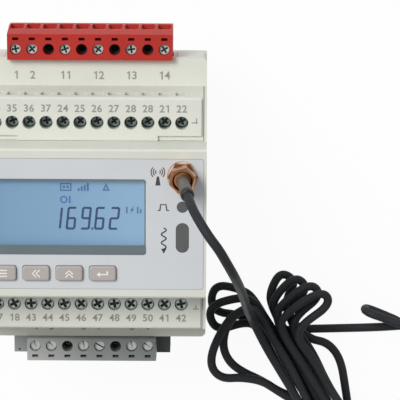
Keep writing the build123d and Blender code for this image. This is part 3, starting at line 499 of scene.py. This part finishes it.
def make_lead():
    """The whole lead as one smooth tube from its sleeve to the aerial's foot."""
    points = [boot_end, boot_end + boot_lean * lead_exit_run, *lead_drop, *hank_route(), *lead_tail]
    curve = bpy.data.curves.new("aerial_lead", "CURVE")
    curve.dimensions = "3D"
    curve.bevel_depth = cord_d / 2 * MM
    curve.bevel_resolution = 4
    curve.resolution_u = 8
    curve.use_fill_caps = True
    spline = curve.splines.new("NURBS")
    spline.points.add(len(points) - 1)
    for point, (x, y, z) in zip(spline.points, points):
        point.co = (x * MM, y * MM, z * MM, 1.0)
    spline.order_u = 3
    spline.use_endpoint_u = True
    curve.materials.append(jacket)
    lead = bpy.data.objects.new("aerial_lead", curve)
    bpy.context.scene.collection.objects.link(lead)
    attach(lead, "meter")
    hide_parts("cord_run", "cord_hank", "cord_tail")
    return lead


lead = make_lead()


# Mesh helpers


def add_mesh(name, bm, mat, body, inner=None):
    mesh = bpy.data.meshes.new(name)
    bm.to_mesh(mesh)
    bm.free()
    mesh.materials.append(mat)
    if inner:
        mesh.materials.append(inner)
    piece = bpy.data.objects.new(name, mesh)
    bpy.context.scene.collection.objects.link(piece)
    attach(piece, body)
    return piece


def add_mesh_of(bm, mesh, matrix):
    """Adds a copy of a mesh, moved by a matrix."""
    start = len(bm.verts)
    bm.from_mesh(mesh)
    bm.verts.ensure_lookup_table()
    for vert in bm.verts[start:]:
        vert.co = matrix @ vert.co


def flat_shape(outlines, z, low=None):
    """A filled flat shape, in mm, from closed outlines. Inner outlines are holes."""
    curve = bpy.data.curves.new("shape", "CURVE")
    curve.dimensions = "2D"
    curve.fill_mode = "BOTH"
    if low is not None:
        curve.extrude = (z - low) / 2 * MM
    for outline in outlines:
        spline = curve.splines.new("POLY")
        spline.points.add(len(outline) - 1)
        for point, (x, y) in zip(spline.points, outline):
            point.co = (x * MM, y * MM, 0, 1)
        spline.use_cyclic_u = True
    holder = bpy.data.objects.new("shape", curve)
    mesh = bpy.data.meshes.new_from_object(holder)
    bpy.data.objects.remove(holder)
    bpy.data.curves.remove(curve)
    middle = z if low is None else (z + low) / 2
    mesh.transform(Matrix.Translation((0, 0, middle * MM)))
    return mesh


figure_step = 0.74
figure_weight = 0.2
plain_one = [(0, 0), (0.18, 0), (0.18, 1), (0.05, 1), (-0.2, 0.83), (-0.2, 0.67), (0, 0.79)]


def figure_mesh(figure):
    """One figure as a flat mesh of unit height, standing on y = 0 about x = 0."""
    if figure == "1":
        return flat_shape([[(x / MM, y / MM) for x, y in plain_one]], 0)
    curve = bpy.data.curves.new("figure", "FONT")
    curve.body = figure
    curve.size = 10
    curve.offset = figure_weight
    holder = bpy.data.objects.new("figure", curve)
    mesh = bpy.data.meshes.new_from_object(holder)
    bpy.data.objects.remove(holder)
    bpy.data.curves.remove(curve)
    xs = [v.co.x for v in mesh.vertices]
    ys = [v.co.y for v in mesh.vertices]
    scale = 1 / (max(ys) - min(ys))
    move = Matrix.Translation((-(max(xs) + min(xs)) / 2, -min(ys), 0))
    mesh.transform(Matrix.Diagonal((scale, scale, 1, 1)) @ move)
    return mesh


figures = {figure: figure_mesh(figure) for figure in "0123456789"}


def ring_points(x, y, radius, count):
    angles = [2 * math.pi * k / count for k in range(count)]
    return [(x + radius * math.cos(a), y + radius * math.sin(a)) for a in angles]


# Printed numbers


def print_numbers(name, texts, places, y, z, height):
    """Numbers of a given height on the housing, each centred on its place."""
    bm = bmesh.new()
    size = height * MM
    for text, middle in zip(texts, places):
        for place, figure in enumerate(text):
            x = middle * MM + (place - (len(text) - 1) / 2) * figure_step * size
            move = Matrix.Translation((x, y * MM, (z + print_lift) * MM))
            add_mesh_of(bm, figures[figure], move @ Matrix.Diagonal((size, size, 1, 1)))
    add_mesh(name, bm, ink, "meter")


def way_places(ways, middle=0.0):
    return [middle + (way - (ways - 1) / 2) * pitch for way in range(ways)]


row = way_places(13)
top_ways = way_places(10, plug_x)
bottom_ways = way_places(8, plug_x)
top_fitted = [top_ways[way] for way in (0, 1, 3, 5, 7, 9)]
bottom_fitted = [bottom_ways[way] for way in (0, 1, 3, 4, 6, 7)]

top_row_texts = "33 34 35 36 37 24 25 26 27 28 28 21 22".split()
bottom_row_texts = "16 17 18 43 44 45 46 47 48 49 50 41 42".split()
top_plug_texts = "1 2 11 12 13 14".split()
bottom_plug_texts = "4 5 6 7 8 9".split()
print_numbers("top_row_numbers", top_row_texts, row, y=31.2, z=deck_z, height=2.25)
print_numbers("bottom_row_numbers", bottom_row_texts, row, y=-33.4, z=deck_z, height=2.25)
print_numbers("top_plug_numbers", top_plug_texts, top_fitted, y=37.7, z=step_z, height=2.5)
print_numbers("bottom_plug_numbers", bottom_plug_texts, bottom_fitted, y=-42.5, z=step_z, height=2.3)


# Display figures: seven slanted bars a figure

segments = {"1": "bc", "2": "abged", "6": "afgedc", "9": "abfgcd"}
cells = (("1", -8.05), ("6", -3.8), ("9", 0.5), ("6", 4.6), ("2", 8.9))
cell_width = 2.9
cell_low = -2.1
cell_height = 6.95
cell_slant = 0.107
bar_thick = 0.66
bar_reach = 0.12
bar_tip = 0.28
point_mark = [(3.85, 0), (4.4, 0), (4.47, 0.65), (3.92, 0.65)]


def bar_outline(segment, x):
    """One bar of a seven-bar figure, pointed at its ends, before the slant."""
    half = bar_thick / 2
    low, middle, high = cell_low + half, cell_low + cell_height / 2, cell_low + cell_height - half
    left, right = x + half, x + cell_width - half
    lying = segment in "agd"
    if lying:
        level = {"a": high, "g": middle, "d": low}[segment]
        a, b = left, right
    else:
        level = right if segment in "bc" else left
        a, b = (middle, high) if segment in "bf" else (low, middle)
    a, b = a - bar_reach, b + bar_reach
    above = [(a, level), (a + bar_tip, level + half), (b - bar_tip, level + half)]
    below = [(b, level), (b - bar_tip, level - half), (a + bar_tip, level - half)]
    return [point if lying else point[::-1] for point in above + below]


arc_steps = 12


def stroke(points, width):
    """A thin band along a run of points, as one outline."""
    left, right = [], []
    for index, (x, y) in enumerate(points):
        before = points[max(0, index - 1)]
        after = points[min(len(points) - 1, index + 1)]
        dx, dy = after[0] - before[0], after[1] - before[1]
        size = math.hypot(dx, dy)
        nx, ny = -dy / size * width / 2, dx / size * width / 2
        left.append((x + nx, y + ny))
        right.append((x - nx, y - ny))
    return left + right[::-1]


def arc_stroke(x, y, radius, start, end, width):
    angles = [math.radians(start + (end - start) * k / arc_steps) for k in range(arc_steps + 1)]
    return stroke([(x + radius * math.cos(a), y + radius * math.sin(a)) for a in angles], width)


def print_shapes(name, shapes, z, mat, body="meter"):
    """Flat printed shapes, each a list of outlines."""
    bm = bmesh.new()
    for outlines in shapes:
        mesh = flat_shape(outlines, z)
        add_mesh_of(bm, mesh, Matrix.Identity(4))
        bpy.data.meshes.remove(mesh)
    add_mesh(name, bm, mat, body)


def box_outline(x0, y0, x1, y1):
    return [(x0, y0), (x1, y0), (x1, y1), (x0, y1)]


bars = []
for figure, x in cells:
    for segment in segments[figure]:
        bars.append([[(px + (py - cell_low) * cell_slant, py) for px, py in bar_outline(segment, x)]])
bars.append([[(x, cell_low + rise) for x, rise in point_mark]])
print_shapes("display_figures", bars, lcd_z + lcd_print_lift, segment_ink)

# Small symbols on the display: a frame with two fields, four signal bars, a triangle, a ring with a bar,
# and a bolt among three short bars

symbols = [
    [box_outline(-5.3, 9.6, -1.9, 12.0), box_outline(-4.9, 10.0, -2.3, 11.6)],
    [box_outline(-4.5, 10.4, -3.8, 11.2)],
    [box_outline(-3.4, 10.4, -2.7, 11.2)],
    [box_outline(-0.1, 9.6, 0.5, 10.4)],
    [box_outline(0.8, 9.6, 1.4, 11.0)],
    [box_outline(1.7, 9.6, 2.3, 11.5)],
    [box_outline(2.6, 9.6, 3.2, 12.0)],
    [[(7.2, 9.7), (9.4, 9.7), (8.3, 12.1)], [(7.9, 10.15), (8.7, 10.15), (8.3, 11.1)]],
    [ring_points(-4.2, 7.0, 1.15, 20), ring_points(-4.2, 7.0, 0.7, 20)],
    [box_outline(-2.7, 5.9, -2.2, 8.1)],
    [box_outline(14.2, 2.9, 14.65, 4.9)],
    [[(15.5, 2.8), (16.6, 4.15), (16.1, 4.15), (16.7, 5.2), (15.3, 3.8), (15.9, 3.8)]],
    [box_outline(17.4, 2.9, 17.85, 4.9)],
    [box_outline(18.3, 2.9, 18.75, 4.2)],
]
print_shapes("display_symbols", symbols, lcd_z + lcd_print_lift, faint_ink)

# Printed signs on the label: aerial, pulse and beam

mast_x = 23.65
mast_low, mast_high = 11.8, 14.5
mast_foot, mast_tip = 0.75, 0.3
waves_y = 15.8
wave_width = 0.3
pulse_width = 0.4
pulse = [(23.6, 4.3), (24.25, 4.3), (24.45, 6.05), (26.05, 6.05), (26.3, 4.3), (26.95, 4.3)]
beam_x = 25.4
beam_width = 0.42
beam_top = -1.0
beam_swing = 0.75
beam_step = 0.32
beam_steps = 20
arrow_half = 0.8
arrow_top, arrow_point = -7.3, -8.8

mast = [
    (mast_x - mast_foot, mast_low),
    (mast_x + mast_foot, mast_low),
    (mast_x + mast_tip, mast_high),
    (mast_x - mast_tip, mast_high),
]
signs = [[mast]]
for radius in (0.7, 1.35, 2.0):
    signs.append([arc_stroke(mast_x, waves_y, radius, -45, 45, wave_width)])
    signs.append([arc_stroke(mast_x, waves_y, radius, 135, 225, wave_width)])
signs.append([stroke(pulse, pulse_width)])
beam = [
    (beam_x + beam_swing * math.sin(k * math.pi / 4), beam_top - beam_step * k)
    for k in range(beam_steps + 1)
]
signs.append([stroke(beam, beam_width)])
signs.append([[(beam_x - arrow_half, arrow_top), (beam_x + arrow_half, arrow_top), (beam_x, arrow_point)]])
print_shapes("label_signs", signs, depth + print_lift, dark_ink)

# Moulded marks on the covers, drawn flat in the numbers' ink as painted shade of their relief

mark_width = 0.3
marks = [
    [(33.4, 28.1), (35.3, 28.1)],
    [(34.9, 28.1), (34.9, 29.5)],
    [(34.0, -29.4), (35.8, -29.4)],
    [(35.0, -29.4), (35.0, -28.1)],
]
print_shapes("cover_marks", [[stroke(mark, mark_width)] for mark in marks], deck_z + print_lift, ink)

# Signs on the keys

key_y = -14.8
key_top = depth + key_rise
first_key_x = -22.3
sign_width = 0.4
menu_half = 1.3
chevron_size = 1.1
return_arrow = [
    (-1.8, -0.2),
    (-0.7, 0.6),
    (-0.7, 0),
    (1.2, 0),
    (1.2, 0.8),
    (1.7, 0.8),
    (1.7, -0.4),
    (-0.7, -0.4),
    (-0.7, -1.0),
]


def chevron(x, y, dx, dy):
    """An angle that points along (dx, dy)."""
    across_x, across_y = -dy * chevron_size, dx * chevron_size
    ahead_x, ahead_y = dx * chevron_size / 2, dy * chevron_size / 2
    points = [
        (x - ahead_x + across_x, y - ahead_y + across_y),
        (x + ahead_x, y + ahead_y),
        (x - ahead_x - across_x, y - ahead_y - across_y),
    ]
    return stroke(points, sign_width)


def menu_bar(x, y):
    return box_outline(x - menu_half, y - sign_width / 2, x + menu_half, y + sign_width / 2)


menu_x, back_x, up_x, enter_x = [first_key_x + key_step * k for k in range(4)]
key_signs = {
    "menu": [menu_bar(menu_x, key_y + rise) for rise in (-0.9, 0, 0.9)],
    "back": [chevron(back_x + shift, key_y, -1, 0) for shift in (-0.5, 0.6)],
    "up": [chevron(up_x, key_y + rise, 0, 1) for rise in (-0.6, 0.4)],
    "enter": [[(enter_x + x, key_y + y) for x, y in return_arrow]],
}
for word, outlines in key_signs.items():
    shapes = [[outline] for outline in outlines]
    print_shapes(f"key_sign_{word}", shapes, key_top + print_lift, white_ink, f"button_{word}")


# Screws


def vert_ring(bm, outline, z):
    return [bm.verts.new((x * MM, y * MM, z * MM)) for x, y in outline]


def lathe_steps(bm, x, y, steps, count):
    """A turned solid about a vertical line, from (radius, height) steps from the top down."""
    rings = [vert_ring(bm, ring_points(x, y, radius, count), z) for radius, z in steps]
    for upper, lower in zip(rings, rings[1:]):
        for k in range(count):
            j = (k + 1) % count
            bm.faces.new((upper[k], lower[k], lower[j], upper[j]))


def turned(x, y, angle, shape):
    """A shape about zero, turned and moved to a place."""
    c, s = math.cos(angle), math.sin(angle)
    return [(x + a * c - b * s, y + a * s + b * c) for a, b in shape]


def cross_shape(reach, half):
    """A cross, one quarter after another."""
    quarters = ((reach, half, 1, 1), (half, reach, -1, 1), (reach, half, -1, -1), (half, reach, 1, -1))
    corners = []
    for a, b, right, up in quarters:
        corners += [(a * right, b * up), (half * right, half * up), (b * right, a * up)]
    return corners


def slot_shape(reach, half):
    return [(reach, half), (-reach, half), (-reach, -half), (reach, -half)]


head_round = 0.18
head_sides = 24

# How far each screw is turned, in radians

turns = [0.2, 0.7, 0.35, 0.9, 0.15, 0.55, 0.8, 0.3, 0.65, 0.1, 0.5, 0.85, 0.4]
slot_turns = [-1.3, -0.9, -1.4, -0.5, -1.35, -0.6]


def screw_set(name, body, node, mat, places, span, head_r, cut, cut_depth, angles):
    """Screws with a recessed head, spanning from the head's top down to the shank's foot."""
    bm = bmesh.new()
    top, foot = span
    face_r = head_r - head_round
    under = top - head_height
    profile = [
        (face_r, top),
        (head_r, top - head_round),
        (head_r, under),
        (shank_r, under),
        (shank_r, foot),
    ]
    for (x, y), angle in zip(places, angles):
        hole = turned(x, y, angle, cut)
        mesh = flat_shape([ring_points(x, y, face_r, head_sides), hole], top)
        add_mesh_of(bm, mesh, Matrix.Identity(4))
        bpy.data.meshes.remove(mesh)
        rim, floor_ring = [vert_ring(bm, hole, z) for z in (top, top - cut_depth)]
        inside = [bm.faces.new(floor_ring)]
        for k in range(len(hole)):
            j = (k + 1) % len(hole)
            inside.append(bm.faces.new((rim[k], rim[j], floor_ring[j], floor_ring[k])))
        # The walls and floor of each cut take the second material, the painted shade of the recess
        for face in inside:
            face.material_index = 1
        lathe_steps(bm, x, y, profile, head_sides)
    piece = add_mesh(name, bm, mat, body, recess_shade)
    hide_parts(node)


plug_screw_top = plug_face_z - plug_screw_drop
screw_set(
    "top_row_screws",
    "meter",
    "top_terminal_screws",
    hole_shaded_steel,
    [(x, hole_y) for x in row],
    (deck_z - top_screw_drop, row_screw_foot),
    head_r=row_head_r,
    cut=cross_shape(1.2, 0.34),
    cut_depth=1.0,
    angles=turns,
)
screw_set(
    "bottom_row_screws",
    "meter",
    "bottom_terminal_screws",
    pale_steel,
    [(x, -hole_y) for x in row],
    (deck_z - bottom_screw_drop, row_screw_foot),
    head_r=row_head_r,
    cut=cross_shape(1.42, 0.42),
    cut_depth=1.2,
    angles=turns[::-1],
)
screw_set(
    "top_plug_heads",
    "top_plug",
    "top_plug_screws",
    pale_steel,
    [(x, plug_screw_y) for x in top_fitted],
    (plug_screw_top, plug_screw_foot),
    head_r=plug_head_r,
    cut=cross_shape(1.2, 0.3),
    cut_depth=1.0,
    angles=turns,
)
screw_set(
    "bottom_plug_heads",
    "bottom_plug",
    "bottom_plug_screws",
    bright_steel,
    [(x, -plug_screw_y) for x in bottom_fitted],
    (plug_screw_top, plug_screw_foot),
    head_r=plug_head_r,
    cut=slot_shape(1.6, 0.2),
    cut_depth=0.8,
    angles=slot_turns,
)


# Display surround: the printed border and band on the window, and the margin under it

corner_steps = 6


def rounded(x0, y0, x1, y1, radius):
    """A box outline with rounded corners."""
    left, right, low, high = x0 + radius, x1 - radius, y0 + radius, y1 - radius
    points = []
    for quarter, (cx, cy) in enumerate(((right, high), (left, high), (left, low), (right, low))):
        for k in range(corner_steps + 1):
            a = math.radians(90 * quarter + 90 * k / corner_steps)
            points.append((cx + radius * math.cos(a), cy + radius * math.sin(a)))
    return points


surround = [[rounded(-25.78, -9.18, 20.08, 13.48, 1.0), rounded(-25.4, -6.3, 19.7, 13.1, 0.7)]]
print_shapes("display_surround", surround, depth + print_lift, display_frame)
margin = [[rounded(-25.6, -9.0, 19.9, 13.3, 0.5), box_outline(-24.7, -8.1, 19.0, 12.4)]]
print_shapes("display_margin", margin, window_seat + margin_lift, display)

# Outer parts of the grey header's ears, each with a small eye

ear_low, ear_high = 23.8, 33.7
ear_near, ear_far = -48.7, -50.7
ear_ends = {"left": (-22.82, -18.52), "right": (22.52, 26.82)}
eye_places = [(-21.2, -49.8), (24.7, -49.8)]
eye_r = 0.35
for side, (start, end) in ear_ends.items():
    ear = flat_shape([box_outline(start, ear_far, end, ear_near)], ear_high, ear_low)
    bm = bmesh.new()
    bm.from_mesh(ear)
    bpy.data.meshes.remove(ear)
    add_mesh(f"header_ear_{side}", bm, header, "meter")
eyes = [[ring_points(x, y, eye_r, 12)] for x, y in eye_places]
print_shapes("header_eyes", eyes, ear_high + print_lift, dark_plastic)

# Collar of the lead's sleeve

collar_steps = [(1.5, 1.1), (1.95, 0.8), (2.0, -0.9), (1.8, -1.1)]
collar_sides = 28
bm = bmesh.new()
lathe_steps(bm, 0, 0, collar_steps, collar_sides)
collar = add_mesh("sleeve_collar", bm, rubber, "meter")
turn = Vector((0, 0, 1)).rotation_difference(boot_lean).to_matrix().to_4x4()
collar.data.transform(Matrix.Translation(boot_end * MM) @ turn)
collar.data.polygons.foreach_set("use_smooth", [True] * len(collar.data.polygons))


# Floor, light and camera: places and reaches in m, angles in degrees

floor_reach = 3.0
floor_grey = (0.86, 0.86, 0.86, 1)
floor_seen_share = 0.94
world_seen_grey = (0.97, 0.97, 0.97, 1)
world_strength = 0.5
sun_strength = 2.2
sun_spread = 30
sun_direction = (0.58, -0.6, -1.0)
photo_px = 400
focal_px = 2096.88
sensor_mm = 36
camera_place = (0.035984, 0.134704, 0.678504)
camera_turn = (-11.8823, 0.0586, 0.3124)


def floor_material():
    """A floor that takes the object's shadow, yet shows nearly white when seen or mirrored."""
    mat = bpy.data.materials.new("floor")
    mat.use_nodes = True
    tree = mat.node_tree
    links = tree.links
    tree.nodes.clear()
    out = tree.nodes.new("ShaderNodeOutputMaterial")
    diffuse = tree.nodes.new("ShaderNodeBsdfDiffuse")
    diffuse.inputs["Color"].default_value = floor_grey
    glow = tree.nodes.new("ShaderNodeEmission")
    path = tree.nodes.new("ShaderNodeLightPath")
    mirrored = tree.nodes.new("ShaderNodeMath")
    mirrored.operation = "MAXIMUM"
    through = tree.nodes.new("ShaderNodeMath")
    through.operation = "MAXIMUM"
    share = tree.nodes.new("ShaderNodeMath")
    share.operation = "MULTIPLY"
    share.inputs[1].default_value = floor_seen_share
    mix = tree.nodes.new("ShaderNodeMixShader")
    links.new(path.outputs["Is Camera Ray"], mirrored.inputs[0])
    links.new(path.outputs["Is Glossy Ray"], mirrored.inputs[1])
    links.new(mirrored.outputs[0], through.inputs[0])
    links.new(path.outputs["Is Transmission Ray"], through.inputs[1])
    links.new(through.outputs[0], share.inputs[0])
    links.new(share.outputs[0], mix.inputs["Fac"])
    links.new(diffuse.outputs[0], mix.inputs[1])
    links.new(glow.outputs[0], mix.inputs[2])
    links.new(mix.outputs[0], out.inputs["Surface"])
    return mat


bm = bmesh.new()
bmesh.ops.create_grid(bm, x_segments=1, y_segments=1, size=floor_reach)
mesh = bpy.data.meshes.new("floor")
bm.to_mesh(mesh)
bm.free()
mesh.materials.append(floor_material())
floor = bpy.data.objects.new("floor", mesh)
bpy.context.scene.collection.objects.link(floor)

world = bpy.data.worlds.new("studio")
bpy.context.scene.world = world
world.use_nodes = True
tree = world.node_tree
tree.nodes.clear()
out = tree.nodes.new("ShaderNodeOutputWorld")
light = tree.nodes.new("ShaderNodeBackground")
light.inputs["Strength"].default_value = world_strength
seen = tree.nodes.new("ShaderNodeBackground")
seen.inputs["Color"].default_value = world_seen_grey
path = tree.nodes.new("ShaderNodeLightPath")
mix = tree.nodes.new("ShaderNodeMixShader")
tree.links.new(path.outputs["Is Camera Ray"], mix.inputs["Fac"])
tree.links.new(light.outputs[0], mix.inputs[1])
tree.links.new(seen.outputs[0], mix.inputs[2])
tree.links.new(mix.outputs[0], out.inputs["Surface"])

sun = bpy.data.lights.new("key", "SUN")
sun.energy = sun_strength
sun.angle = math.radians(sun_spread)
holder = bpy.data.objects.new("key", sun)
holder.rotation_euler = Vector(sun_direction).to_track_quat("-Z", "Y").to_euler()
bpy.context.scene.collection.objects.link(holder)

camera = bpy.data.cameras.new("camera")
camera.sensor_width = sensor_mm
camera.lens = focal_px / photo_px * sensor_mm
camera.clip_start = 0.01
holder = bpy.data.objects.new("camera", camera)
holder.location = camera_place
holder.rotation_euler = [math.radians(a) for a in camera_turn]
bpy.context.scene.collection.objects.link(holder)
bpy.context.scene.camera = holder
bpy.context.scene.view_settings.view_transform = "Standard"
